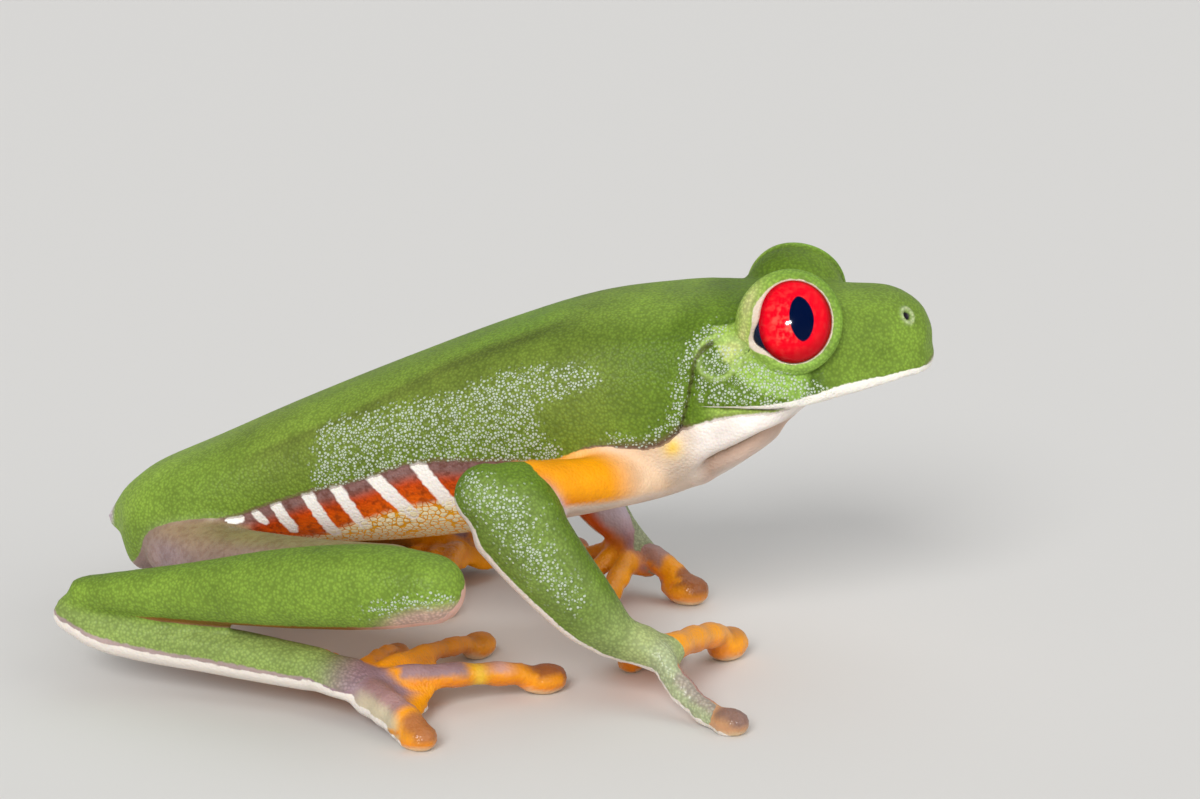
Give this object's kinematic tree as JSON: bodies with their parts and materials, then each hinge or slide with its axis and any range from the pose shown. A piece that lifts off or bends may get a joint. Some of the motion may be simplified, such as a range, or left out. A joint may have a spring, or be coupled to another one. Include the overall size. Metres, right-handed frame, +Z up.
{
  "type": "red-eyed tree frog",
  "caption": "Still, life-size red-eyed tree frog, crouched on its discs with its head up and its hind legs folded, bright red eyes and banded flanks.",
  "frame": {"origin": "on the floor under the middle of the bounding box", "axes": "+X forward, from vent to snout; +Y to the frog's left; +Z up"},
  "size_m": [0.056, 0.0448, 0.027],
  "materials": {
    "green_skin": "moist leaf-green granular skin, with cream, orange and lilac markings in the looks",
    "orange_skin": "smooth moist orange skin of the digits and upper arms",
    "throat_skin": "pale cream throat skin",
    "eye": "wet glossy red eye with a vertical pupil"
  },
  "bodies": {
    "root": {"trunk": "green_skin", "head": "green_skin", "lower_jaw": "throat_skin", "eye_l": "eye", "upper_arm_l": "orange_skin", "forearm_l": "green_skin", "hand_l": "green_skin", "thigh_l": "green_skin", "shank_l": "green_skin", "tarsus_l": "green_skin", "foot_l": "green_skin", "finger_1_l": "orange_skin", "finger_2_l": "orange_skin", "finger_3_l": "orange_skin", "finger_4_l": "orange_skin", "toe_1_l": "orange_skin", "toe_2_l": "orange_skin", "toe_3_l": "orange_skin", "toe_4_l": "orange_skin", "toe_5_l": "orange_skin", "eye_r": "eye", "upper_arm_r": "orange_skin", "forearm_r": "green_skin", "hand_r": "green_skin", "thigh_r": "green_skin", "shank_r": "green_skin", "tarsus_r": "green_skin", "foot_r": "green_skin", "finger_1_r": "orange_skin", "finger_2_r": "orange_skin", "finger_3_r": "orange_skin", "finger_4_r": "orange_skin", "toe_1_r": "orange_skin", "toe_2_r": "orange_skin", "toe_3_r": "orange_skin", "toe_4_r": "orange_skin", "toe_5_r": "orange_skin"}
  },
  "joints": []
}
